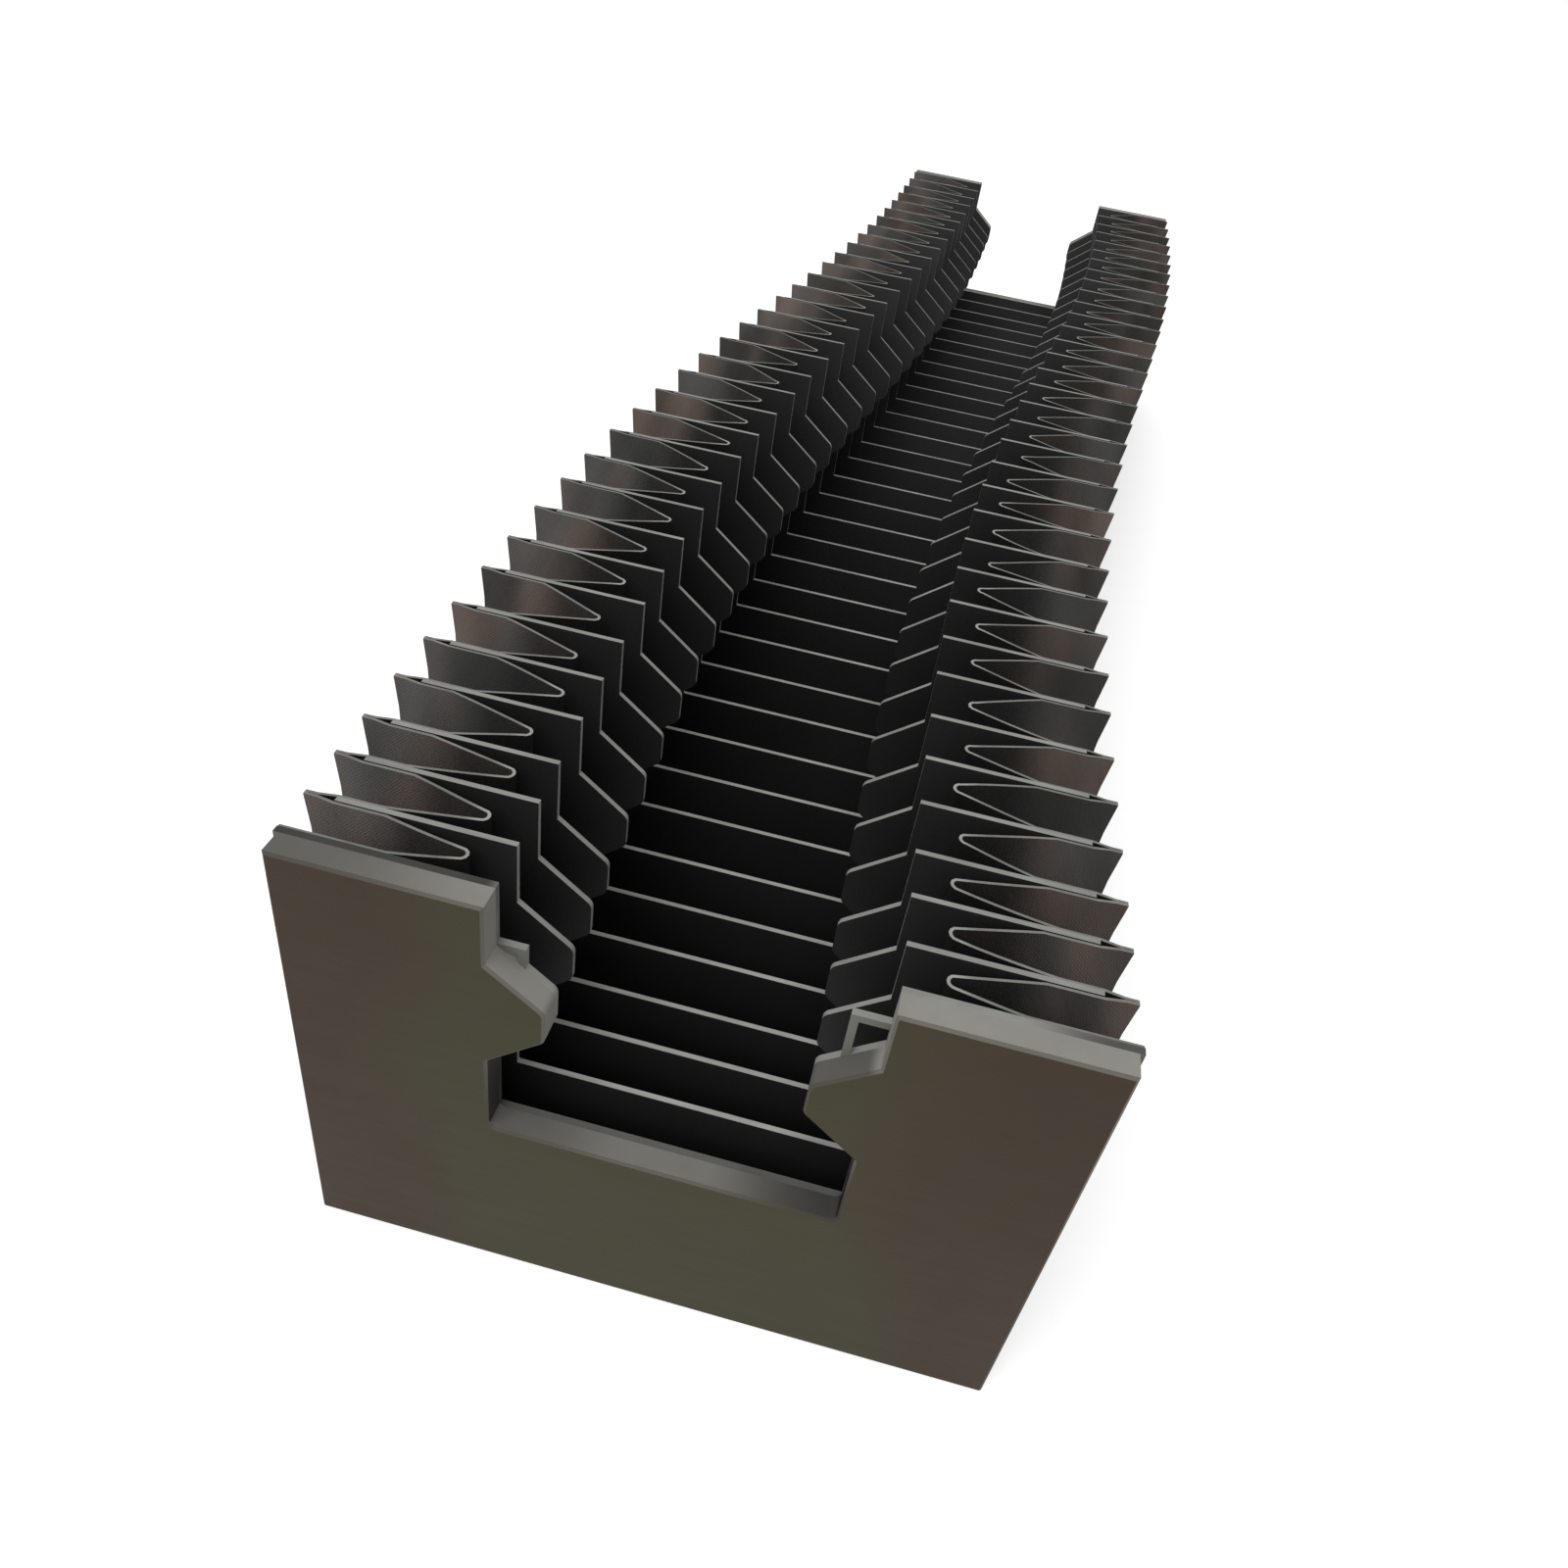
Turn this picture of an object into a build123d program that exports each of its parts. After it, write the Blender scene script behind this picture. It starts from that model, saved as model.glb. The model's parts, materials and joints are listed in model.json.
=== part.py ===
from build123d import *
import math
import os

# Bellows way cover for a profiled guide rail, lying on its back with the rail channel open upwards.
# X runs across the cover, Y along it from the front plate to the rear plate, Z up.
# The origin is the centre of the box round the whole cover, at the floor. All sizes are in millimetres.

# The rail that the cover rides on
rail_width = 45.0
rail_height = 38.0
rail_side_clearance = 0.6
rail_top_clearance = 1.5

# The section that the plates and the guide frames share
arm_width = 26.0
base_height = 30.5
tooth_reach = 7.3
tooth_root_height = 13.2
tooth_lower_rise = 6.2
tooth_tip_height = 5.2
tooth_upper_rise = 5.8
tooth_tip_radius = 1.5
plate_corner_radius = 1.2

# End plates, and the thin retainer that clamps the cloth behind each of them
end_plate_thickness = 3.6
end_plate_edge_break = 0.35
retainer_thickness = 1.0
front_retainer_overhang = 0.6
ear_wall = 1.0
right_ear_width = 4.6
right_ear_height = 3.8
left_ear_width = 3.6
left_ear_height = 0.3

# Guide frames
frame_count = 33
frame_thickness = 0.8
frame_rim_inset = 3.4

# The folded cloth: creased at its ridges, flat against each frame for a while, then off to the inner fold
cloth_thickness = 0.4
crease_width = 1.0
crease_depth = 3.0
glued_depth = 10.0
fold_depth = 21.0
fold_tip_width = 1.1
seam_gap = 0.2

# How far the pleats are drawn out, from the front plate to the rear plate
near_pitch = 6.6
far_pitch = 13.9
pitch_settling = 6.0
pitch_unevenness = 0.6
pitch_beat = 2.4

# How the slack cover lies sideways: its rear plate further right, its middle sagging left in a slight S
lean = 20.0
bow = 5.4
sway = 4.9

# Worked out from the sizes above
mouth_half = rail_width / 2 + rail_side_clearance
tip_half = mouth_half - tooth_reach
outer_half = mouth_half + arm_width
slot_depth = rail_height + rail_top_clearance
overall_height = base_height + slot_depth
end_stack = end_plate_thickness + retainer_thickness
tooth_root = base_height + tooth_root_height + tooth_lower_rise + tooth_tip_height + tooth_upper_rise


def pitch(index):
    """Distance between two neighbouring frames, wider away from the front plate."""
    drawn_out = near_pitch + (far_pitch - near_pitch) * (1 - math.exp(-index / pitch_settling))
    return drawn_out + pitch_unevenness * math.sin(pitch_beat * index)


pitches = [pitch(index) for index in range(frame_count + 1)]
overall_length = 2 * end_stack + sum(pitches)
cloth_start = -overall_length / 2 + end_stack
cloth_end = overall_length / 2 - end_stack
frame_places = [cloth_start + sum(pitches[: index + 1]) for index in range(frame_count)]
ridge_places = [cloth_start] + frame_places + [cloth_end]


def drift(y):
    """How far the section has strayed to the right of the front plate, at a place along the cover."""
    along = (y - cloth_start) / (cloth_end - cloth_start)
    along = min(max(along, 0.0), 1.0)
    sag = bow * math.sin(math.pi * along) + sway * math.sin(2 * math.pi * along)
    return lean * along - sag


drifts = [drift(y) for y in ridge_places]
drift_centre = (min(drifts) + max(drifts)) / 2


def centre_line(y):
    """Sideways place of the section's middle, from the middle of the box round the whole cover."""
    return drift(y) - drift_centre


def section_corners(side, low, corner_radius):
    """Corners of the section and their radii, out to a side and down to a low edge."""
    high_tip = tooth_root - tooth_upper_rise
    low_tip = high_tip - tooth_tip_height
    right_half = [
        (side, low, 0),
        (side, overall_height, 0),
        (mouth_half, overall_height, 0),
        (mouth_half, tooth_root, 0),
        (tip_half, high_tip, tooth_tip_radius),
        (tip_half, low_tip, tooth_tip_radius),
        (mouth_half, low_tip - tooth_lower_rise, 0),
        (mouth_half, base_height, corner_radius),
    ]
    left_half = [(-x, z, radius) for x, z, radius in reversed(right_half)]
    return right_half + left_half


def section_face(side=outer_half, low=0.0, corner_radius=0.0):
    """The section as a flat face, with rounded corners at the channel's floor where a radius is given."""
    corners = section_corners(side, low, corner_radius)
    points = [(x, z) for x, z, radius in corners]
    radii = [radius for x, z, radius in corners]
    outline = FilletPolyline(*points, radius=radii, close=True)
    return make_face(outline)


def across(y):
    """Plane across the cover at a place along it, looking back from the front."""
    return Plane(origin=(centre_line(y), y, 0), x_dir=(1, 0, 0), z_dir=(0, -1, 0))


def slab(flat, y, thickness):
    """A flat face stood across the cover, and made thick towards the rear."""
    return extrude(across(y) * flat, amount=thickness, dir=(0, 1, 0))


def end_plate(y, outward):
    """Thick end plate with its outward face's edges broken: -1 for the front plate, 1 for the rear."""
    plate = slab(section_face(corner_radius=plate_corner_radius), y, end_plate_thickness)
    broad_face = plate.faces().sort_by(Axis.Y)[0 if outward < 0 else -1]
    return chamfer(broad_face.edges(), end_plate_edge_break)


def ear(side, width, height):
    """Looped ear on a tooth, to a height over its root: side 1 for the right arm, -1 for the left."""
    low = tooth_root - tooth_upper_rise
    high = tooth_root + height
    block = Pos(side * (mouth_half - width / 2), (low + high) / 2) * Rectangle(width, high - low)
    window_width = width - ear_wall
    window_high = high - ear_wall
    window = Pos(side * (mouth_half - window_width / 2), (low + window_high) / 2)
    return block - window * Rectangle(window_width, window_high - low)


def front_retainer(y):
    """Thin retainer clamping the cloth to the front plate, wider than it, with an ear on each tooth."""
    flat = section_face(side=outer_half + front_retainer_overhang)
    right_ear = ear(1, right_ear_width, right_ear_height)
    left_ear = ear(-1, left_ear_width, left_ear_height)
    return slab(flat + right_ear + left_ear, y, retainer_thickness)


def rear_retainer(y):
    """Thin retainer that clamps the cloth to the rear plate."""
    return slab(section_face(), y, retainer_thickness)


def guide_frame(y):
    """Thin stiffening frame in one outer ridge of the cloth."""
    flat = section_face(side=outer_half - frame_rim_inset, low=frame_rim_inset)
    return slab(flat, y - frame_thickness / 2, frame_thickness)


def fold_line():
    """Places along the cover and depths in from the outside that the cloth's outer face passes."""
    off_plate = seam_gap + cloth_thickness
    off_frame = frame_thickness / 2 + off_plate
    line = [(cloth_start + off_plate, 0.0), (cloth_start + off_plate, glued_depth)]
    for before, after in zip(ridge_places[:-1], ridge_places[1:]):
        middle = (before + after) / 2
        line.append((middle - fold_tip_width / 2, fold_depth))
        line.append((middle + fold_tip_width / 2, fold_depth))
        if after < cloth_end:
            line.append((after - off_frame, glued_depth))
            line.append((after - off_frame, crease_depth))
            line.append((after - crease_width / 2, 0.0))
            line.append((after + crease_width / 2, 0.0))
            line.append((after + off_frame, crease_depth))
            line.append((after + off_frame, glued_depth))
    line.append((cloth_end - off_plate, glued_depth))
    line.append((cloth_end - off_plate, 0.0))
    return line


def inner_fold_line(line):
    """The same folds on the cloth's inner face, one cloth thickness further in."""
    normals = []
    for (y0, d0), (y1, d1) in zip(line[:-1], line[1:]):
        length = math.hypot(y1 - y0, d1 - d0)
        normals.append(((d0 - d1) / length, (y1 - y0) / length))
    inner = []
    for (y, d), (y_in, d_in), (y_out, d_out) in zip(line, normals[:1] + normals, normals + normals[-1:]):
        reach = cloth_thickness / (1 + y_in * y_out + d_in * d_out)
        inner.append((y + (y_in + y_out) * reach, d + (d_in + d_out) * reach))
    return inner


def hoop(y, depth):
    """The four corners that a fold passes round the cover, from the left arm's end to the right's."""
    middle = centre_line(y)
    side = outer_half - depth
    return [
        Vector(middle - side, y, overall_height),
        Vector(middle - side, y, depth),
        Vector(middle + side, y, depth),
        Vector(middle + side, y, overall_height),
    ]


def flat_panel(a, b, c, d):
    """A flat four-sided face through its corners in order."""
    return Face(Wire.make_polygon([a, b, c, d], close=True))


def bellows_skin():
    """The whole folded cloth as one closed solid, with its corners mitred and its edges open on top."""
    outer_hoops = [hoop(y, depth) for y, depth in fold_line()]
    inner_hoops = [hoop(y, depth) for y, depth in inner_fold_line(fold_line())]
    both = list(zip(outer_hoops, inner_hoops))
    panels = []
    for hoops in (outer_hoops, inner_hoops):
        for here, there in zip(hoops[:-1], hoops[1:]):
            for k in range(3):
                panels.append(flat_panel(here[k], here[k + 1], there[k + 1], there[k]))
    for (outer, inner), (next_outer, next_inner) in zip(both[:-1], both[1:]):
        for end in (0, 3):
            panels.append(flat_panel(outer[end], next_outer[end], next_inner[end], inner[end]))
    for outer, inner in (both[0], both[-1]):
        for k in range(3):
            panels.append(flat_panel(outer[k], outer[k + 1], inner[k + 1], inner[k]))
    return Solid(Shell(panels))


def all_pieces():
    """Every piece of the cover under its own name."""
    front = -overall_length / 2
    rear = overall_length / 2
    pieces = {
        "front_end_plate": end_plate(front, -1),
        "front_retainer": front_retainer(front + end_plate_thickness),
        "rear_retainer": rear_retainer(rear - end_stack),
        "rear_end_plate": end_plate(rear - end_plate_thickness, 1),
        "bellows_skin": bellows_skin(),
    }
    for number, y in enumerate(frame_places, start=1):
        pieces[f"guide_frame_{number:02d}"] = guide_frame(y)
    return pieces


os.makedirs("parts", exist_ok=True)
for name, piece in all_pieces().items():
    export_step(piece, f"parts/{name}.step")
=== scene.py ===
import json
import math
import random
from typing import NamedTuple

import bpy
from mathutils import Matrix, Vector, noise


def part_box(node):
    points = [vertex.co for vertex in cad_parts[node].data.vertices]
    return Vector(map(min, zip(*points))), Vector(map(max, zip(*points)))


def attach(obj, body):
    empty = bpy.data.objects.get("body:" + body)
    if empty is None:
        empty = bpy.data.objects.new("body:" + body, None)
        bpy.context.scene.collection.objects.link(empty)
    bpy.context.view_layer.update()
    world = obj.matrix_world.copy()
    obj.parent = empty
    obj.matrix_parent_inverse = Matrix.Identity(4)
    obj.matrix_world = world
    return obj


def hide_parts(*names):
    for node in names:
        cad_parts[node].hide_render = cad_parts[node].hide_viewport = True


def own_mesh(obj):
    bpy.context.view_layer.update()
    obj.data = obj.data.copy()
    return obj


bl_info = {
    "name": "Bellows way cover",
    "version": (1, 0, 0),
    "blender": (4, 5, 0),
    "location": "View3D > Sidebar > Way Cover",
    "description": "Dresses a folded cloth way cover with its end plates, retainers and guide frames",
    "category": "Object",
}

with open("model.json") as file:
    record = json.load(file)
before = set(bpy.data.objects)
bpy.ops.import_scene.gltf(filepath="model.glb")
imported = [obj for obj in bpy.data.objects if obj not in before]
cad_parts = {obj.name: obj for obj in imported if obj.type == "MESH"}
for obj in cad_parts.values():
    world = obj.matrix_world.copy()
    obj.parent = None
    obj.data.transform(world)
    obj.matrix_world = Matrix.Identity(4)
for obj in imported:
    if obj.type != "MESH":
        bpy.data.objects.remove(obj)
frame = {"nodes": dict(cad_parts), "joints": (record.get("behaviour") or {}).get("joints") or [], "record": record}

MM = 0.001

# The camera's picture in pixels, its sensor in millimetres, and how near and far it sees in metres
PICTURE_WIDTH = 1600
SENSOR_WIDTH = 36.0
SIGHT_START = 0.005
SIGHT_END = 50

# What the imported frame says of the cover
FRAME_NODES = sorted(name for name in frame["nodes"] if name.startswith("guide_frame_"))
PLATE_NODES = ("front_end_plate", "rear_end_plate")
RETAINER_NODES = ("front_retainer", "rear_retainer")
FRONT_PLATE_LOW, FRONT_PLATE_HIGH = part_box("front_end_plate")
CLOTH_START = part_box("front_retainer")[1].y
CLOTH_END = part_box("rear_retainer")[0].y
OUTER_HALF = (FRONT_PLATE_HIGH.x - FRONT_PLATE_LOW.x) / 2
TOP = FRONT_PLATE_HIGH.z
FIRST_FRAME_LOW, FIRST_FRAME_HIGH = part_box(FRAME_NODES[0])
FRAME_THICKNESS = FIRST_FRAME_HIGH.y - FIRST_FRAME_LOW.y
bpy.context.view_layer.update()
BEHAVIOUR = frame["record"]["behaviour"]
BODY_OF = {node: body for body, nodes in BEHAVIOUR["bodies"].items() for node in nodes}
JOINT_OF = {joint["child"]: joint for joint in frame["joints"]}
SLIDE = JOINT_OF["rear_plate"]
SHARE_OF_SLIDE = {coupling["joint"]: coupling["ratio"] for coupling in BEHAVIOUR["couplings"]}

# Heights of a guide frame's corners: its underside, the channel's floor, the teeth's root and so on up
FRAME_HEIGHTS = sorted({round(vertex.co.z, 4) for vertex in frame["nodes"][FRAME_NODES[0]].data.vertices})
CHANNEL_FLOOR, TOOTH_ROOT = FRAME_HEIGHTS[1:3]

# How finely the cloth is divided: cuts in its base and arms, steps down a pleat's side and round a fold
BASE_CUTS = 13
ARM_CUTS = 13
SIDE_STEPS = 5
TIP_STEPS = 6

# Which random draws shape the folds, how far the cloth comes off a frame where it is glued, and how it
# curves from there down to the inner fold
FOLD_SEED = 11
TAPER = 0.01 * MM
SIDE_CURVE = 1.06

# The cloth's ripples in repeats to the metre, and how much finer and weaker the small ones are
RIPPLES = (28, 55, 28)
SMALL_RIPPLES = 3.1
SMALL_SHARE = 0.4

# The free edge's ripples, and the shares of its droop that are even and uneven
HANG_RIPPLES = (90, 20)
HANG_EVEN = 0.6
HANG_UNEVEN = 0.4

# How fast the droop and the flare grow towards the top, as powers
DROOP_POWER = 3
FLARE_POWER = 2

# How close counts as the same height, and how many keys to the metre tell the cloth's hoops apart
NEARLY = 0.01 * MM
HOOP_KEYS = 1e7

# Under which angle the cloth's faces are shaded as one, and which materials its inside and edges take
SMOOTH_ANGLE = math.radians(40)
LINING_MATERIAL = 1
EDGE_MATERIAL = 2

# Sockets of a Mix node for colours, by number because their names come more than once
MIX_SHARE = 0
MIX_FIRST = 6
MIX_SECOND = 7
MIX_RESULT = 2


def middle_of(node):
    """The middle of a node's box at rest."""
    low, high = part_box(node)
    return (low + high) / 2


class Socket:
    """An output of a node, which Python's operators join to Math nodes."""

    def __init__(self, tree, output):
        self.tree = tree
        self.output = output

    def maths(self, operation, *others):
        """A Math node on this value and up to two others."""
        values = (self,) + others
        return self.tree.add("ShaderNodeMath", {"operation": operation}, dict(enumerate(values)))

    def __add__(self, other):
        return self.maths("ADD", other)

    __radd__ = __add__

    def __mul__(self, other):
        return self.maths("MULTIPLY", other)

    __rmul__ = __mul__

    def __sub__(self, other):
        return self.maths("SUBTRACT", other)

    def __rsub__(self, other):
        return (self * -1.0) + other

    def __truediv__(self, other):
        return self.maths("DIVIDE", other)

    def __abs__(self):
        return self.maths("ABSOLUTE")

    def above(self, low, high):
        """0 under the low value and 1 over the high one, with a smooth step between them."""
        settings = {"interpolation_type": "SMOOTHSTEP"}
        sockets = {"Value": self, "From Min": low, "From Max": high}
        return self.tree.add("ShaderNodeMapRange", settings, sockets)


class Tree:
    """The node tree of a material or a world while it is built."""

    def __init__(self, owner):
        owner.use_nodes = True
        self.nodes = owner.node_tree.nodes
        self.links = owner.node_tree.links
        self.nodes.clear()

    def add(self, kind, settings=None, sockets=None, output=0):
        """Adds a node of any type: its settings come first, then the values or links of its sockets."""
        node = self.nodes.new(kind)
        for name, value in (settings or {}).items():
            setattr(node, name, value)
        for key, value in (sockets or {}).items():
            socket = node.inputs[key]
            if isinstance(value, Socket):
                self.links.new(value.output, socket)
            elif socket.type == "RGBA":
                socket.default_value = (value[0], value[1], value[2], 1.0)
            else:
                socket.default_value = value
        return Socket(self, node.outputs[output]) if node.outputs else None

    def on_object(self):
        """The place of a point on its object, in metres."""
        return self.add("ShaderNodeTexCoord", output="Object")

    def on_map(self, name):
        """The place of a point on one of its mesh's own maps."""
        return self.add("ShaderNodeUVMap", {"uv_map": name})

    def axis(self, where, name):
        """One of a vector's three numbers."""
        return self.add("ShaderNodeSeparateXYZ", sockets={0: where}, output=name)

    def facing(self, name):
        """How squarely a face looks along an axis, one way or the other: 1 straight and 0 not at all."""
        return abs(self.axis(self.add("ShaderNodeNewGeometry", output="Normal"), name))

    def stretched(self, where, factors):
        """Coordinates multiplied axis by axis, which draws a pattern out."""
        return self.add("ShaderNodeVectorMath", {"operation": "MULTIPLY"}, {0: where, 1: factors})

    def noise(self, where, scale, detail=3.0, roughness=0.5, distortion=0.0):
        """Noise from 0 to 1 at a place, with its scale in repeats to the metre."""
        sockets = {"Vector": where, "Scale": scale, "Detail": detail, "Roughness": roughness}
        sockets["Distortion"] = distortion
        return self.add("ShaderNodeTexNoise", sockets=sockets)

    def mix(self, share, first, second):
        """The first colour where the share is 0, and the second where it is 1."""
        settings = {"data_type": "RGBA", "clamp_factor": True}
        sockets = {MIX_SHARE: share, MIX_FIRST: first, MIX_SECOND: second}
        return self.add("ShaderNodeMix", settings, sockets, output=MIX_RESULT)

    def shade(self, colour, brightness):
        """A colour made darker or lighter by a value."""
        return self.add("ShaderNodeVectorMath", {"operation": "SCALE"}, {0: colour, "Scale": brightness})

    def bump(self, height, distance):
        """A normal from a height, whose full rise is the distance in metres."""
        return self.add("ShaderNodeBump", sockets={"Height": height, "Distance": distance, "Strength": 1.0})

    def surface(self, colour, roughness, normal, specular):
        """Ends a material with a Principled BSDF."""
        sockets = {"Base Color": colour, "Roughness": roughness, "Normal": normal}
        sockets["Specular IOR Level"] = specular
        shader = self.add("ShaderNodeBsdfPrincipled", sockets=sockets)
        self.add("ShaderNodeOutputMaterial", sockets={"Surface": shader})


def new_material(name):
    """An empty material and its tree."""
    material = bpy.data.materials.new(name)
    return material, Tree(material)


def cut_edge_share(tree):
    """1 on the narrow faces that a cut left round a sheet, and 0 on its two broad faces."""
    return 1.0 - tree.facing("Y").above(0.45, 0.9)


def rear_share(tree):
    """0 near the front of the cover and 1 at its rear, where painted light lifts the dark faces so that the cloth
    and the frames look evenly grey.
    """
    return tree.axis(tree.on_object(), "Y").above(-130 * MM, 160 * MM)


def plate_painted_shade(tree, place, across):
    """How pale a plate's cut edges are, with painted shade: duller to the left, on the right tooth and low in the
    channel.
    """
    sideways = abs(across)
    height = tree.axis(place, "Z")
    # Painted shade: duller to the left, low in the channel, on the right tooth and on the slot's side walls low
    # down.
    left = 1.0 - across.above(-0.9, -0.35)
    low = 1.0 - height.above(CHANNEL_FLOOR + 3.5 * MM, CHANNEL_FLOOR + 17.5 * MM)
    off_middle = sideways.above(0.1, 0.35)
    low_right = low * across.above(0.1, 0.45)
    right_tooth = across.above(0.15, 0.25) * (1.0 - across.above(0.44, 0.47)) * (1.0 - low)
    wall = tree.facing("X").above(0.8, 0.95) * (1.0 - sideways.above(0.55, 0.65))
    low_wall = wall * (1.0 - height.above(TOOTH_ROOT - 0.7 * MM, TOOTH_ROOT + 2.3 * MM))
    pale = (1.0 - left * 0.54) * (1.0 - low * (0.28 + off_middle * 0.25))
    return pale * (1.0 - low_right * 0.6) * (1.0 - right_tooth * 0.6) * (1.0 - low_wall * 0.75)


def plate_material(node, colours):
    """Moulded sheet of an end plate: olive in the middle, browner at its sides, with pale edges that painted shade
    dulls in places.
    """
    material, tree = new_material(f"{node}_plastic")
    place = tree.on_object()
    drift = tree.noise(place, scale=22.0, detail=2.0)
    mottle = tree.noise(place, scale=160.0, detail=4.0, roughness=0.6)
    grain = tree.noise(place, scale=2600.0, detail=2.0)
    streaks = tree.noise(tree.stretched(place, (1.0, 1.0, 9.0)), scale=90.0)
    across = (tree.axis(place, "X") - middle_of(node).x) / OUTER_HALF
    brown_share = (abs(across) + (drift - 0.5) * 0.9).above(0.42, 0.85)
    face = tree.mix(brown_share, colours.plate_middle, colours.plate_side)
    face = tree.shade(face, 0.72 + drift * 0.3 + mottle * 0.26)
    # The edges' brightness: random mottle and drift, times the painted shade by place.
    pale = (0.78 + mottle * 0.3 + drift * 0.14) * plate_painted_shade(tree, place, across)
    cut = cut_edge_share(tree)
    colour = tree.mix(cut, face, tree.shade(colours.plate_edge, pale))
    roughness = 0.42 + mottle * 0.16 + streaks * 0.1 + cut * 0.1
    relief = grain * 0.5 + streaks * 0.35 + mottle * 0.4
    tree.surface(colour, roughness, tree.bump(relief, distance=0.05 * MM), specular=0.17)
    return material


def front_retainer_painted_shade(tree, place):
    """How pale the front retainer's edges are, with painted shade: dull low in the channel and at the arms' outer
    ends.
    """
    across = (tree.axis(place, "X") - middle_of("front_retainer").x) / OUTER_HALF
    # Painted shade: dull low in the channel, on the left arm and at the right arm's outer end.
    low = 1.0 - tree.axis(place, "Z").above(TOOTH_ROOT - 2.7 * MM, TOOTH_ROOT + 1.3 * MM)
    left_arm = 1.0 - across.above(-0.5, -0.44)
    right_end = across.above(0.7, 0.95)
    return (1.0 - left_arm * 0.84) * (1.0 - right_end * 0.7) * (1.0 - low * 0.72)


def sheet_material(name, face_colour, edge_colour, edge_painted_shade=None):
    """Thin guide sheet: a nearly black face, and pale, uneven cut edges, palest on the channel's floor.

    Where painted shade dulls the edges by place, a function of the tree and the place says how pale they are.
    """
    material, tree = new_material(name)
    place = tree.on_object()
    drift = tree.noise(place, scale=30.0, detail=2.0)
    nicks = tree.noise(tree.stretched(place, (1.0, 3.0, 1.0)), scale=95.0, roughness=0.6)
    grain = tree.noise(place, scale=2200.0, detail=2.0)
    rear = rear_share(tree)
    # Painted light: the dark faces are lifted towards the rear, and the pale edges are dulled there.
    face = tree.shade(face_colour, (0.6 + drift * 0.8) * (1.0 + rear * 2.2))
    on_floor = 1.0 - tree.axis(place, "Z").above(CHANNEL_FLOOR + 0.5 * MM, CHANNEL_FLOOR + 5.5 * MM)
    pale = (0.55 + nicks * 0.9) * (1.0 + on_floor * 0.4) * (1.0 - rear * 0.2)
    if edge_painted_shade:
        pale = pale * edge_painted_shade(tree, place)
    colour = tree.mix(cut_edge_share(tree), face, tree.shade(edge_colour, pale))
    tree.surface(colour, 0.5 + nicks * 0.15, tree.bump(grain, distance=0.03 * MM), specular=0.15)
    return material


def weave(tree, place, pitch):
    """Height of a plain weave under its coating, for a cloth whose own map is in metres."""
    turns = 2 * math.pi / pitch
    across = tree.axis(place, "X") * turns
    along = tree.axis(place, "Y") * turns
    return across.maths("SINE") * along.maths("SINE")


def cloth_material(colours, pitch):
    """The cloth's outside: grey or brown from pleat to pleat, darker inwards by painted shade and paler on the
    left arm by painted light.
    """
    material, tree = new_material("cloth_outside")
    place = tree.on_map("cloth")
    patches = tree.noise(tree.stretched(place, (0.5, 1.0, 1.0)), scale=34.0, detail=2.0)
    shades = tree.noise(tree.stretched(place, (0.4, 1.0, 1.0)), scale=61.0, detail=1.0)
    creases = tree.noise(tree.stretched(place, (1.0, 0.35, 1.0)), scale=210.0, detail=4.0, distortion=0.6)
    inward = tree.axis(tree.on_map("folds"), "X") + (shades - 0.5) * 0.3
    # Painted shade: the cloth darkens towards the inner folds, less so at the rear.
    painted_fold_shade = 1.0 - inward.above(0.32, 0.72) * (0.85 - rear_share(tree) * 0.55)
    # Painted light: the cloth on the left arm is made paler.
    on_left = 1.0 - tree.axis(place, "X").above(-70 * MM, -45 * MM)
    bright = (0.35 + shades.above(0.3, 0.7) * 0.75 + creases * 0.25) * painted_fold_shade * (1.0 + on_left * 0.4)
    colour = tree.mix(patches.above(0.42, 0.62), colours.cloth_grey, colours.cloth_brown)
    colour = tree.shade(colour, bright)
    height = weave(tree, place, pitch) * 0.25 + creases
    tree.surface(colour, 0.5 + creases * 0.25, tree.bump(height, distance=0.1 * MM), specular=0.19)
    return material


def cloth_lining_material(colours, pitch):
    """The cloth's inner side, which is nearly black and lifted to grey at the rear by painted light."""
    material, tree = new_material("cloth_lining")
    place = tree.on_map("cloth")
    fibres = tree.noise(place, scale=420.0)
    # Painted light: the lining is lifted towards the rear.
    colour = tree.shade(colours.cloth_lining, (0.6 + fibres * 0.8) * (1.0 + rear_share(tree) * 3.0))
    height = weave(tree, place, pitch) + fibres
    tree.surface(colour, 0.7 + fibres * 0.15, tree.bump(height, distance=0.05 * MM), specular=0.1)
    return material


def cloth_edge_material(colours):
    """The cloth's free edge, where the cut shows pale threads in the coating, and a painted highlight makes it
    palest at the inner folds.
    """
    material, tree = new_material("cloth_edge")
    place = tree.on_object()
    threads = tree.noise(place, scale=900.0, detail=2.0)
    wear = tree.noise(place, scale=120.0, detail=2.0)
    # Painted highlight: the edge is made palest at the inner folds' tips.
    tip_highlight = tree.axis(tree.on_map("folds"), "X").above(0.84, 0.97)
    pale = (0.85 + tip_highlight * 0.55) * (1.0 - rear_share(tree) * 0.2)
    colour = tree.shade(colours.cloth_edge, (0.4 + wear * 0.7 + threads * 0.4) * pale)
    tree.surface(colour, 0.6 + threads * 0.2, tree.bump(threads, distance=0.06 * MM), specular=0.17)
    return material


def seen_share(tree):
    """1 for what the camera sees, also by way of gloss or glass, and 0 for light that falls on things."""
    kinds = ("Is Camera Ray", "Is Glossy Ray", "Is Transmission Ray")
    camera, glossy, through = [tree.add("ShaderNodeLightPath", output=kind) for kind in kinds]
    return (camera + glossy + through).maths("MINIMUM", 1.0)


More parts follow.
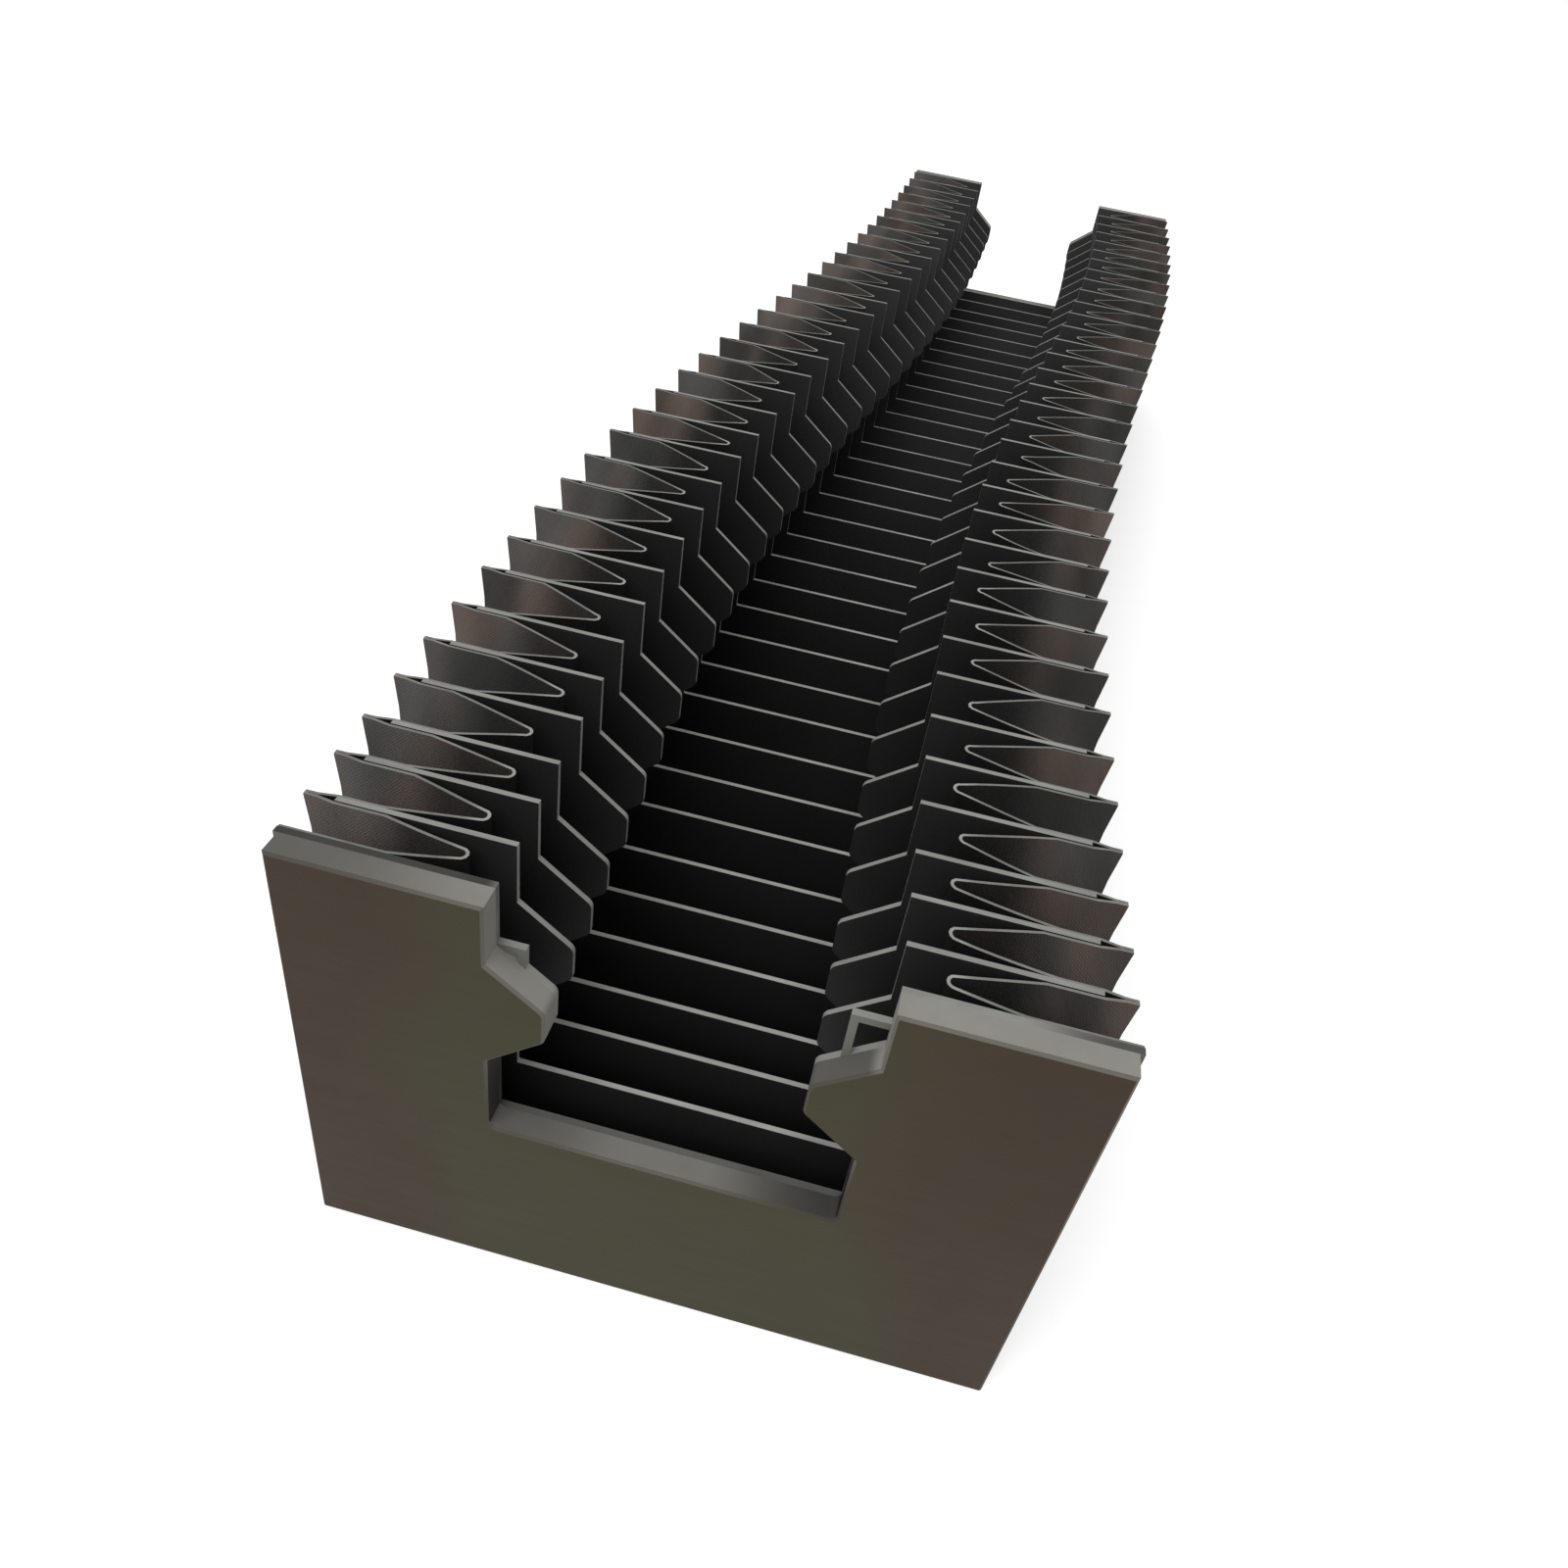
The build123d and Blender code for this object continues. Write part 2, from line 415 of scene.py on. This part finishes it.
def floor_material(colour, lift):
    """Plain pale floor, which is lifted to white around the cover's shadow."""
    material, tree = new_material("pale_floor")
    tint = tree.shade(colour, 0.99 + tree.noise(tree.on_object(), scale=3.0) * 0.01)
    paper = tree.add("ShaderNodeBsdfDiffuse", sockets={"Color": tint})
    glow = tree.add("ShaderNodeEmission", sockets={"Color": (1, 1, 1), "Strength": seen_share(tree) * lift})
    both = tree.add("ShaderNodeAddShader", sockets={0: paper, 1: glow})
    tree.add("ShaderNodeOutputMaterial", sockets={"Surface": both})
    return material


class CoverColours(bpy.types.PropertyGroup):
    """Colours of the cover's finishes."""

    plate_middle: bpy.props.FloatVectorProperty(
        name="Plate middle", description="End plate beside and under the channel", subtype="COLOR",
        default=(0.043, 0.0385, 0.019), min=0, max=1,
    )
    plate_side: bpy.props.FloatVectorProperty(
        name="Plate side", description="End plate near its outer sides", subtype="COLOR",
        default=(0.041, 0.0265, 0.0155), min=0, max=1,
    )
    plate_edge: bpy.props.FloatVectorProperty(
        name="Plate edge", description="Cut edge of the end plates", subtype="COLOR",
        default=(0.27, 0.265, 0.24), min=0, max=1,
    )
    retainer_face: bpy.props.FloatVectorProperty(
        name="Retainer face", description="Broad faces of the front retainer", subtype="COLOR",
        default=(0.15, 0.15, 0.13), min=0, max=1,
    )
    frame_face: bpy.props.FloatVectorProperty(
        name="Frame face", description="Broad faces of the guide frames and the rear retainer",
        subtype="COLOR", default=(0.016, 0.016, 0.016), min=0, max=1,
    )
    frame_edge: bpy.props.FloatVectorProperty(
        name="Frame edge", description="Cut edge of the guide frames and retainers", subtype="COLOR",
        default=(0.28, 0.28, 0.265), min=0, max=1,
    )
    cloth_grey: bpy.props.FloatVectorProperty(
        name="Cloth grey", description="Outside of the cloth where it is grey", subtype="COLOR",
        default=(0.065, 0.064, 0.062), min=0, max=1,
    )
    cloth_brown: bpy.props.FloatVectorProperty(
        name="Cloth brown", description="Outside of the cloth where it is brown", subtype="COLOR",
        default=(0.12, 0.092, 0.078), min=0, max=1,
    )
    cloth_lining: bpy.props.FloatVectorProperty(
        name="Cloth lining", description="Inner side of the cloth", subtype="COLOR",
        default=(0.01, 0.01, 0.01), min=0, max=1,
    )
    cloth_edge: bpy.props.FloatVectorProperty(
        name="Cloth edge", description="Free edge of the cloth along the arms", subtype="COLOR",
        default=(0.25, 0.25, 0.235), min=0, max=1,
    )


class ClothSizes(bpy.types.PropertyGroup):
    """How the cloth is folded."""

    thickness: bpy.props.FloatProperty(
        name="Thickness", description="Thickness of the coated cloth",
        unit="LENGTH", default=0.4 * MM, min=0.1 * MM,
    )
    fold_depth: bpy.props.FloatProperty(
        name="Fold depth", description="From an outer ridge to an inner fold",
        unit="LENGTH", default=21 * MM, min=1 * MM,
    )
    glued_depth: bpy.props.FloatProperty(
        name="Glued depth", description="How far in the cloth lies against a frame",
        unit="LENGTH", default=10 * MM, min=0,
    )
    crease_width: bpy.props.FloatProperty(
        name="Crease width", description="Width of a ridge where it is pressed flat",
        unit="LENGTH", default=0.84 * MM, min=0.5 * MM,
    )
    crease_depth: bpy.props.FloatProperty(
        name="Crease depth", description="How far in the ridge is pressed flat",
        unit="LENGTH", default=1.3 * MM, min=0,
    )
    rim_depth: bpy.props.FloatProperty(
        name="Rim depth", description="Where the cloth has opened round a frame's rim",
        unit="LENGTH", default=3.3 * MM, min=0,
    )
    seam_gap: bpy.props.FloatProperty(
        name="Seam gap", description="Glue between the cloth and what it lies against",
        unit="LENGTH", default=0.05 * MM, min=0,
    )
    top_gap: bpy.props.FloatProperty(
        name="Top gap", description="How far the free edge stays under the frames' ends",
        unit="LENGTH", default=0.15 * MM, min=0,
    )
    tip_radius: bpy.props.FloatProperty(
        name="Fold radius", description="Radius of the cloth's outer face in an inner fold",
        unit="LENGTH", default=0.7 * MM, min=0.2 * MM,
    )
    depth_spread: bpy.props.FloatProperty(
        name="Depth spread", description="How much the folds differ in depth",
        unit="LENGTH", default=0.9 * MM, min=0,
    )
    glued_spread: bpy.props.FloatProperty(
        name="Glued spread", description="How much the glued depths differ",
        unit="LENGTH", default=2.2 * MM, min=0,
    )
    wander: bpy.props.FloatProperty(
        name="Wander", description="How far an inner fold strays, as a share of half a pleat",
        default=0.1, min=0, max=0.3,
    )
    droop: bpy.props.FloatProperty(
        name="Droop", description="How far the free edge hangs between two frames",
        unit="LENGTH", default=0.7 * MM, min=0,
    )
    waver: bpy.props.FloatProperty(
        name="Waver", description="How far the cloth between two frames is out of true",
        unit="LENGTH", default=0.7 * MM, min=0,
    )
    flare: bpy.props.FloatProperty(
        name="Flare", description="How far the ridges spread at the arms' ends",
        unit="LENGTH", default=0.6 * MM, min=0,
    )
    flare_height: bpy.props.FloatProperty(
        name="Flare height", description="How far down the arms the ridges spread",
        unit="LENGTH", default=9 * MM, min=1 * MM,
    )
    seam_inset: bpy.props.FloatProperty(
        name="Seam inset", description="From the end of the glued stretch out to where a strip ends",
        unit="LENGTH", default=1.5 * MM, min=0,
    )
    strip_gap: bpy.props.FloatProperty(
        name="Strip gap", description="Between two strips of the cloth",
        unit="LENGTH", default=0.002 * MM, min=0,
    )
    weave_pitch: bpy.props.FloatProperty(
        name="Weave pitch", description="Distance between two threads",
        unit="LENGTH", default=0.5 * MM, min=0.1 * MM,
    )


class StageSettings(bpy.types.PropertyGroup):
    """Floor, light and camera."""

    floor_size: bpy.props.FloatProperty(
        name="Floor size", description="Side of the square floor", unit="LENGTH", default=12.0, min=1.0,
    )
    floor_colour: bpy.props.FloatVectorProperty(
        name="Floor colour", description="Colour of the floor", subtype="COLOR",
        default=(0.93, 0.93, 0.93), min=0, max=1,
    )
    floor_lift: bpy.props.FloatProperty(
        name="Floor lift", description="Light that the floor gives off, so that it looks white",
        default=0.38, min=0,
    )
    sky_strength: bpy.props.FloatProperty(
        name="Sky strength", description="Brightness of the even light from all round", default=0.52, min=0,
    )
    sun_strength: bpy.props.FloatProperty(
        name="Key strength", description="Strength of the soft key light", default=1.55, min=0,
    )
    sun_turn: bpy.props.FloatVectorProperty(
        name="Key turn", description="How the key light is turned from straight down", subtype="EULER",
        default=(math.radians(32), math.radians(-14), 0.0),
    )
    sun_softness: bpy.props.FloatProperty(
        name="Key softness", description="How wide the key light looks from the floor", subtype="ANGLE",
        default=math.radians(50), min=0,
    )
    camera_place: bpy.props.FloatVectorProperty(
        name="Camera place", description="Where the camera stands", subtype="TRANSLATION", unit="LENGTH",
        default=(0.0081, -0.30428, 0.16528),
    )
    camera_azimuth: bpy.props.FloatProperty(
        name="Camera azimuth", description="Turn of the view to the left", subtype="ANGLE",
        default=math.radians(6.02),
    )
    camera_elevation: bpy.props.FloatProperty(
        name="Camera elevation", description="Downward tilt of the view", subtype="ANGLE",
        default=math.radians(38.03),
    )
    camera_roll: bpy.props.FloatProperty(
        name="Camera roll", description="Turn of the picture", subtype="ANGLE",
        default=math.radians(10.03),
    )
    focal_pixels: bpy.props.FloatProperty(
        name="Focal length", description="In pixels of the picture", default=1221.0, min=100,
    )


def settings_of(context):
    """The three groups of settings: colours, cloth and stage."""
    scene = context.scene
    return scene.cover_colours, scene.cover_cloth, scene.cover_stage


def deselect_all():
    """Leaves nothing selected, in object mode."""
    if bpy.context.object and bpy.context.object.mode != "OBJECT":
        bpy.ops.object.mode_set(mode="OBJECT")
    bpy.ops.object.select_all(action="DESELECT")


def give_material(node, material):
    """Puts one material on a carried-over node, in its object's slots."""
    piece = frame["nodes"][node]
    for slot in piece.material_slots:
        slot.link = "OBJECT"
        slot.material = material


class COVER_OT_finish_plates(bpy.types.Operator):
    """Finish the two thick end plates"""

    bl_idname = "cover.finish_plates"
    bl_label = "Finish end plates"

    def execute(self, context):
        colours = settings_of(context)[0]
        for node in PLATE_NODES:
            give_material(node, plate_material(node, colours))
        return {"FINISHED"}


class COVER_OT_finish_retainers(bpy.types.Operator):
    """Finish the thin retainers behind the end plates"""

    bl_idname = "cover.finish_retainers"
    bl_label = "Finish retainers"

    def execute(self, context):
        colours = settings_of(context)[0]
        # Only the front retainer's edges take painted shade by place.
        finishes = ((colours.retainer_face, front_retainer_painted_shade), (colours.frame_face, None))
        for node, (face, edge_painted_shade) in zip(RETAINER_NODES, finishes):
            give_material(node, sheet_material(f"{node}_plastic", face, colours.frame_edge, edge_painted_shade))
        return {"FINISHED"}


class COVER_OT_finish_frames(bpy.types.Operator):
    """Finish the guide frames inside the cloth's ridges"""

    bl_idname = "cover.finish_frames"
    bl_label = "Finish guide frames"

    def execute(self, context):
        colours = settings_of(context)[0]
        material = sheet_material("frame_plastic", colours.frame_face, colours.frame_edge)
        for node in FRAME_NODES:
            give_material(node, material)
        return {"FINISHED"}


class Hoop(NamedTuple):
    """One U that the cloth's outer face passes, at its place along the cover and with its own middle.

    It says how deep it lies, how slack the cloth is there, and how far along the cloth it comes.
    """

    y: float
    middle: float
    depth: float
    slack: float
    along: float = 0.0


class Strip(NamedTuple):
    """The cloth between two cuts: its name, the pieces that carry it, and its hoops from front to rear."""

    name: str
    carriers: list
    hoops: list


def pleat_side(sizes, off, half_gap, depth, glued, creased):
    """One side of a pleat from its carrier inwards, as distances from the carrier, depths and slack.

    It comes in two parts: what stays on the carrier, and what folds.
    """
    if creased:
        pressed = sizes.crease_width / 2
        held = [
            (pressed, 0.0, 0.0),
            (pressed + TAPER, sizes.crease_depth, 0.0),
            (off, sizes.rim_depth, 0.0),
        ]
    else:
        held = [(off, 0.0, 0.0)]
    rim = held[-1][1]
    seam = glued - sizes.seam_inset
    seam_off = off + TAPER * (seam - rim) / (glued - rim)
    held.append((seam_off, seam, 0.0))
    folding = [(seam_off, seam + sizes.strip_gap, 0.0)]
    reach = half_gap - sizes.tip_radius - off - TAPER
    bottom = depth - sizes.tip_radius
    for step in range(SIDE_STEPS + 1):
        share = step / SIDE_STEPS
        folding.append((off + TAPER + reach * share ** SIDE_CURVE, glued + (bottom - glued) * share, share))
    return held, folding


def pleat(sizes, chance, one, other, first, last):
    """Hoops between two carriers: those on the one in front, those that fold, and those on the other."""
    off_plate = sizes.seam_gap + sizes.thickness
    off_frame = FRAME_THICKNESS / 2 + off_plate
    half_gap = (other.y - one.y) / 2
    depth = sizes.fold_depth + chance.uniform(-1, 0.5) * sizes.depth_spread
    stray = chance.uniform(-1, 1) * sizes.wander * half_gap
    sides = []
    for at_plate in (first, last):
        spread = chance.uniform(-1, 1)
        off = off_plate if at_plate else off_frame
        glued = sizes.glued_depth + (1 if at_plate else spread) * sizes.glued_spread
        sides.append(pleat_side(sizes, off, half_gap, depth, glued, creased=not at_plate))
    (near_held, near_folding), (far_held, far_folding) = sides
    middle = one.y + half_gap + stray
    tip = []
    for step in range(1, TIP_STEPS):
        angle = math.pi * step / TIP_STEPS
        inward = depth - sizes.tip_radius * (1 - math.sin(angle))
        tip.append((middle - sizes.tip_radius * math.cos(angle), inward, 1.0))
    in_front = [(one.y + off, inward, slack) for off, inward, slack in near_held]
    down = [(one.y + off + stray * slack, inward, slack) for off, inward, slack in near_folding]
    up = [(other.y - off + stray * slack, inward, slack) for off, inward, slack in far_folding[::-1]]
    behind = [(other.y - off, inward, slack) for off, inward, slack in far_held[::-1]]
    lean = (other.x - one.x) / (other.y - one.y)
    return [
        [Hoop(y, one.x + (y - one.y) * lean, inward, slack) for y, inward, slack in part]
        for part in (in_front, down + tip + up, behind)
    ]


def fold_strips(sizes):
    """The cloth from front to rear: the front flap, then folds and ridges by turns, and the rear flap."""
    chance = random.Random(FOLD_SEED)
    carriers = ["front_retainer", *FRAME_NODES, "rear_retainer"]
    places = [Vector((middle_of("front_end_plate").x, CLOTH_START, 0))]
    places += [middle_of(node) for node in FRAME_NODES]
    places.append(Vector((middle_of("rear_end_plate").x, CLOTH_END, 0)))
    pleats = len(carriers) - 1
    held = [[] for carrier in carriers]
    folds = []
    for number in range(pleats):
        one, other = places[number:number + 2]
        before, between, after = pleat(sizes, chance, one, other, number == 0, number == pleats - 1)
        held[number] += before
        folds.append(between)
        held[number + 1] += after
    ridges = [f"cloth_ridge_{number:02d}" for number in range(1, pleats)]
    strips = []
    for number, name in enumerate(["cloth_flap_front", *ridges, "cloth_flap_rear"]):
        strips.append(Strip(name, carriers[number:number + 1], held[number]))
        if number < pleats:
            strips.append(Strip(f"cloth_fold_{number + 1:02d}", carriers[number:number + 2], folds[number]))
    measure_along(strips)
    return strips


def measure_along(strips):
    """Tells each hoop how far along the cloth it comes, from the front flap's outer end."""
    along = 0.0
    last = strips[0].hoops[0]
    for strip in strips:
        for i, hoop in enumerate(strip.hoops):
            along += math.hypot(hoop.y - last.y, hoop.depth - last.depth)
            strip.hoops[i] = last = hoop._replace(along=along)


def hoop_outline(hoop, top, name):
    """Models the U that the cloth's outer face makes at a hoop, with its arms and its base divided."""
    deselect_all()
    bpy.ops.mesh.primitive_plane_add(size=1, location=(0, 0, 0))
    outline = bpy.context.object
    outline.name = name
    bpy.ops.object.mode_set(mode="EDIT")
    bpy.ops.mesh.select_all(action="SELECT")
    bpy.ops.transform.rotate(value=math.pi / 2, orient_axis="X", center_override=(0, 0, 0))
    height = top - hoop.depth
    bpy.ops.transform.resize(value=(2 * (OUTER_HALF - hoop.depth), 1, height), center_override=(0, 0, 0))
    bpy.ops.transform.translate(value=(hoop.middle, hoop.y, hoop.depth + height / 2))
    bpy.ops.mesh.delete(type="ONLY_FACE")
    select_outline_edges(outline, hoop.depth, top, "top")
    bpy.ops.mesh.delete(type="EDGE")
    for place, cuts in (("base", BASE_CUTS), ("arms", ARM_CUTS)):
        select_outline_edges(outline, hoop.depth, top, place)
        bpy.ops.mesh.subdivide(number_cuts=cuts)
    return outline


def select_outline_edges(outline, depth, top, place):
    """Selects the top edge, the base edge or the two arm edges of a hoop's outline."""
    bpy.ops.mesh.select_all(action="DESELECT")
    bpy.ops.object.mode_set(mode="OBJECT")
    for edge in outline.data.edges:
        heights = [outline.data.vertices[i].co.z for i in edge.vertices]
        low = max(heights) < depth + NEARLY
        high = min(heights) > top - NEARLY
        edge.select = {"top": high, "base": low, "arms": not low and not high}[place]
        if edge.select:
            for i in edge.vertices:
                outline.data.vertices[i].select = True
    bpy.ops.object.mode_set(mode="EDIT")


def fold_cloth(strip, top):
    """Draws a hoop out along one strip, growing and shrinking it so that the corners are mitred."""
    here = strip.hoops[0]
    cloth = hoop_outline(here, top, strip.name)
    bpy.ops.mesh.select_all(action="SELECT")
    for there in strip.hoops[1:]:
        step = (there.middle - here.middle, there.y - here.y, 0)
        bpy.ops.mesh.extrude_region_move(TRANSFORM_OT_translate={"value": step})
        width = (OUTER_HALF - there.depth) / (OUTER_HALF - here.depth)
        height = (top - there.depth) / (top - here.depth)
        bpy.ops.transform.resize(value=(width, 1, height), center_override=(there.middle, there.y, top))
        here = there
    bpy.ops.mesh.select_all(action="SELECT")
    bpy.ops.mesh.normals_make_consistent(inside=False)
    bpy.ops.object.mode_set(mode="OBJECT")
    turn_outwards(cloth, *strip.hoops[:2])
    return cloth


def turn_outwards(cloth, one, other):
    """Turns all of a strip's faces over if the one in the base between two hoops looks into the cover."""
    under = Vector((one.middle, (one.y + other.y) / 2, (one.depth + other.depth) / 2))
    outward = Vector((0, other.depth - one.depth, one.y - other.y))
    nearest = min(cloth.data.polygons, key=lambda face: (face.center - under).length)
    if nearest.normal.dot(outward) < 0:
        bpy.ops.object.mode_set(mode="EDIT")
        bpy.ops.mesh.flip_normals()
        bpy.ops.object.mode_set(mode="OBJECT")


def hoops_under(cloth, hoops):
    """The hoop that each of the cloth's vertices lies on."""
    places = {round(hoop.y * HOOP_KEYS): hoop for hoop in hoops}
    found = []
    for vertex in cloth.data.vertices:
        key = round(vertex.co.y * HOOP_KEYS)
        if key not in places:
            key = min(places, key=lambda value: abs(value - key))
        found.append(places[key])
    return found


def map_cloth(cloth, hoops, sizes):
    """Lays the cloth's own maps: across it and along it in metres, and how deep each place is folded in."""
    layer = cloth.data.uv_layers.new(name="cloth")
    folds = cloth.data.uv_layers.new(name="folds")
    for loop in cloth.data.loops:
        point = cloth.data.vertices[loop.vertex_index].co
        hoop = hoops[loop.vertex_index]
        side = point.x - hoop.middle
        up = point.z - hoop.depth
        layer.data[loop.index].uv = (side + math.copysign(up, side), hoop.along)
        folds.data[loop.index].uv = (hoop.depth / sizes.fold_depth, 0)


def crumple(cloth, hoops, sizes):
    """Lets the slack cloth stray and its free edge hang, and spreads the ridges at the arms' ends."""
    for vertex, hoop in zip(cloth.data.vertices, hoops):
        seed = Vector([value * ripples for value, ripples in zip(vertex.co, RIPPLES)])
        stray = noise.noise(seed) + SMALL_SHARE * noise.noise(seed * SMALL_RIPPLES)
        vertex.co.y += stray * hoop.slack * sizes.waver
        up = (vertex.co.z - hoop.depth) / (TOP - hoop.depth)
        if up > 0:
            seed = Vector((hoop.middle, vertex.co.y * HANG_RIPPLES[0], vertex.co.x * HANG_RIPPLES[1]))
            hang = HANG_EVEN + HANG_UNEVEN * noise.noise(seed)
            vertex.co.z -= hang * hoop.slack * sizes.droop * up ** DROOP_POWER
        near_end = max(0.0, 1 - (TOP - vertex.co.z) / sizes.flare_height)
        at_ridge = max(0.0, 1 - hoop.depth / sizes.rim_depth)
        spread = sizes.flare * near_end ** FLARE_POWER * at_ridge
        vertex.co.x += math.copysign(spread, vertex.co.x - hoop.middle)


def give_wall(cloth, thickness):
    """Makes a strip's outer face into cloth of a thickness."""
    wall = cloth.modifiers.new("wall", "SOLIDIFY")
    wall.thickness = thickness
    wall.offset = -1
    wall.use_even_offset = True
    wall.material_offset = LINING_MATERIAL
    wall.material_offset_rim = EDGE_MATERIAL
    deselect_all()
    cloth.select_set(True)
    bpy.context.view_layer.objects.active = cloth
    bpy.ops.object.modifier_apply(modifier=wall.name)
    bpy.ops.object.shade_smooth_by_angle(angle=SMOOTH_ANGLE)


def way_round(depth):
    """Length of the U at a depth: down one arm, along the base and up the other arm."""
    return 2 * (TOP + OUTER_HALF - 2 * depth)


def flat_cut(hoops):
    """A strip laid out flat: its width at its widest, its length, and its area."""
    area = 0.0
    for here, there in zip(hoops[:-1], hoops[1:]):
        area += way_round((here.depth + there.depth) / 2) * (there.along - here.along)
    widest = way_round(min(hoop.depth for hoop in hoops))
    return widest, hoops[-1].along - hoops[0].along, area


def travel_of(body):
    """How far a body has moved to the front when the cover is closed."""
    if body not in JOINT_OF:
        return 0.0
    share = SHARE_OF_SLIDE.get(JOINT_OF[body]["name"], 1.0)
    return -share * SLIDE["range_m"][0]


def hang_on(cloth, strip):
    """Works out how a strip was cut and how far its carriers move, hides the imported cloth, hangs the strip on
    its front carrier's body, and gives a strip between two carriers a mesh of its own.
    """
    width, length, area = flat_cut(strip.hoops)
    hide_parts("bellows_skin")
    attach(cloth, BODY_OF[strip.carriers[0]])
    if len(strip.carriers) > 1:
        near, far = [travel_of(BODY_OF[node]) for node in strip.carriers]
        start, end = strip.hoops[0].y, strip.hoops[-1].y
        keep = 1 - (far - near) / (end - start)
        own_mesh(cloth)


class COVER_OT_fold_cloth(bpy.types.Operator):
    """Fold the coated cloth round the guide frames"""

    bl_idname = "cover.fold_cloth"
    bl_label = "Fold cloth"

    def execute(self, context):
        colours, sizes = settings_of(context)[:2]
        materials = (
            cloth_material(colours, sizes.weave_pitch),
            cloth_lining_material(colours, sizes.weave_pitch),
            cloth_edge_material(colours),
        )
        for strip in fold_strips(sizes):
            cloth = fold_cloth(strip, TOP - sizes.top_gap)
            hoops = hoops_under(cloth, strip.hoops)
            map_cloth(cloth, hoops, sizes)
            crumple(cloth, hoops, sizes)
            for material in materials:
                cloth.data.materials.append(material)
            give_wall(cloth, sizes.thickness)
            hang_on(cloth, strip)
        return {"FINISHED"}


def camera_matrix(stage):
    """Turns and places the camera as the picture was taken."""
    azimuth, elevation, roll = stage.camera_azimuth, stage.camera_elevation, stage.camera_roll
    forward = Vector((
        -math.sin(azimuth) * math.cos(elevation),
        math.cos(azimuth) * math.cos(elevation),
        -math.sin(elevation),
    ))
    level = Vector((math.cos(azimuth), math.sin(azimuth), 0))
    upright = level.cross(forward)
    right = level * math.cos(roll) + upright * math.sin(roll)
    up = -level * math.sin(roll) + upright * math.cos(roll)
    turn = Matrix((right, up, -forward)).transposed().to_4x4()
    return Matrix.Translation(Vector(stage.camera_place)) @ turn


def lay_floor(stage):
    """Adds the floor with its pale material."""
    deselect_all()
    bpy.ops.mesh.primitive_plane_add(size=stage.floor_size, location=(0, 0, 0))
    floor = bpy.context.object
    floor.name = "floor"
    floor.data.materials.append(floor_material(stage.floor_colour, stage.floor_lift))


def light_cover(stage):
    """Adds the soft key light and the even light, which is white where the camera sees it."""
    bpy.ops.object.light_add(type="SUN", location=(0, 0, 0), rotation=stage.sun_turn)
    key = bpy.context.object
    key.data.energy = stage.sun_strength
    key.data.angle = stage.sun_softness
    world = bpy.data.worlds.new("studio")
    bpy.context.scene.world = world
    tree = Tree(world)
    even = tree.add("ShaderNodeBackground", sockets={"Color": (1, 1, 1), "Strength": stage.sky_strength})
    white = tree.add("ShaderNodeBackground", sockets={"Color": (1, 1, 1), "Strength": 1.0})
    both = tree.add("ShaderNodeMixShader", sockets={0: seen_share(tree), 1: even, 2: white})
    tree.add("ShaderNodeOutputWorld", sockets={"Surface": both})


def set_camera(stage):
    """Adds the camera where the picture was taken from."""
    bpy.ops.object.camera_add(location=(0, 0, 0))
    camera = bpy.context.object
    camera.data.sensor_width = SENSOR_WIDTH
    camera.data.lens = SENSOR_WIDTH * stage.focal_pixels / PICTURE_WIDTH
    camera.data.clip_start = SIGHT_START
    camera.data.clip_end = SIGHT_END
    camera.matrix_world = camera_matrix(stage)
    bpy.context.scene.camera = camera
    bpy.context.scene.view_settings.view_transform = "Standard"


class COVER_OT_set_stage(bpy.types.Operator):
    """Set the floor, the light and the camera"""

    bl_idname = "cover.set_stage"
    bl_label = "Set stage"

    def execute(self, context):
        stage = settings_of(context)[2]
        lay_floor(stage)
        light_cover(stage)
        set_camera(stage)
        return {"FINISHED"}


class COVER_PT_panel(bpy.types.Panel):
    """The way cover's steps, in the 3D view's sidebar"""

    bl_idname = "COVER_PT_panel"
    bl_label = "Way Cover"
    bl_space_type = "VIEW_3D"
    bl_region_type = "UI"
    bl_category = "Way Cover"

    def draw(self, context):
        for step in STEPS:
            self.layout.operator(step.bl_idname)


STEPS = (
    COVER_OT_finish_plates,
    COVER_OT_finish_retainers,
    COVER_OT_finish_frames,
    COVER_OT_fold_cloth,
    COVER_OT_set_stage,
)
GROUPS = (
    ("cover_colours", CoverColours),
    ("cover_cloth", ClothSizes),
    ("cover_stage", StageSettings),
)


def register():
    """Adds the settings, the steps and the panel to Blender."""
    for name, group in GROUPS:
        bpy.utils.register_class(group)
        setattr(bpy.types.Scene, name, bpy.props.PointerProperty(type=group))
    for kind in STEPS + (COVER_PT_panel,):
        bpy.utils.register_class(kind)


def unregister():
    """Takes them out again."""
    for kind in (COVER_PT_panel,) + STEPS[::-1]:
        bpy.utils.unregister_class(kind)
    for name, group in GROUPS[::-1]:
        delattr(bpy.types.Scene, name)
        bpy.utils.unregister_class(group)


def main():
    """Makes the whole picture."""
    register()
    bpy.ops.cover.finish_plates()
    bpy.ops.cover.finish_retainers()
    bpy.ops.cover.finish_frames()
    bpy.ops.cover.fold_cloth()
    bpy.ops.cover.set_stage()


if __name__ == "__main__":
    main()
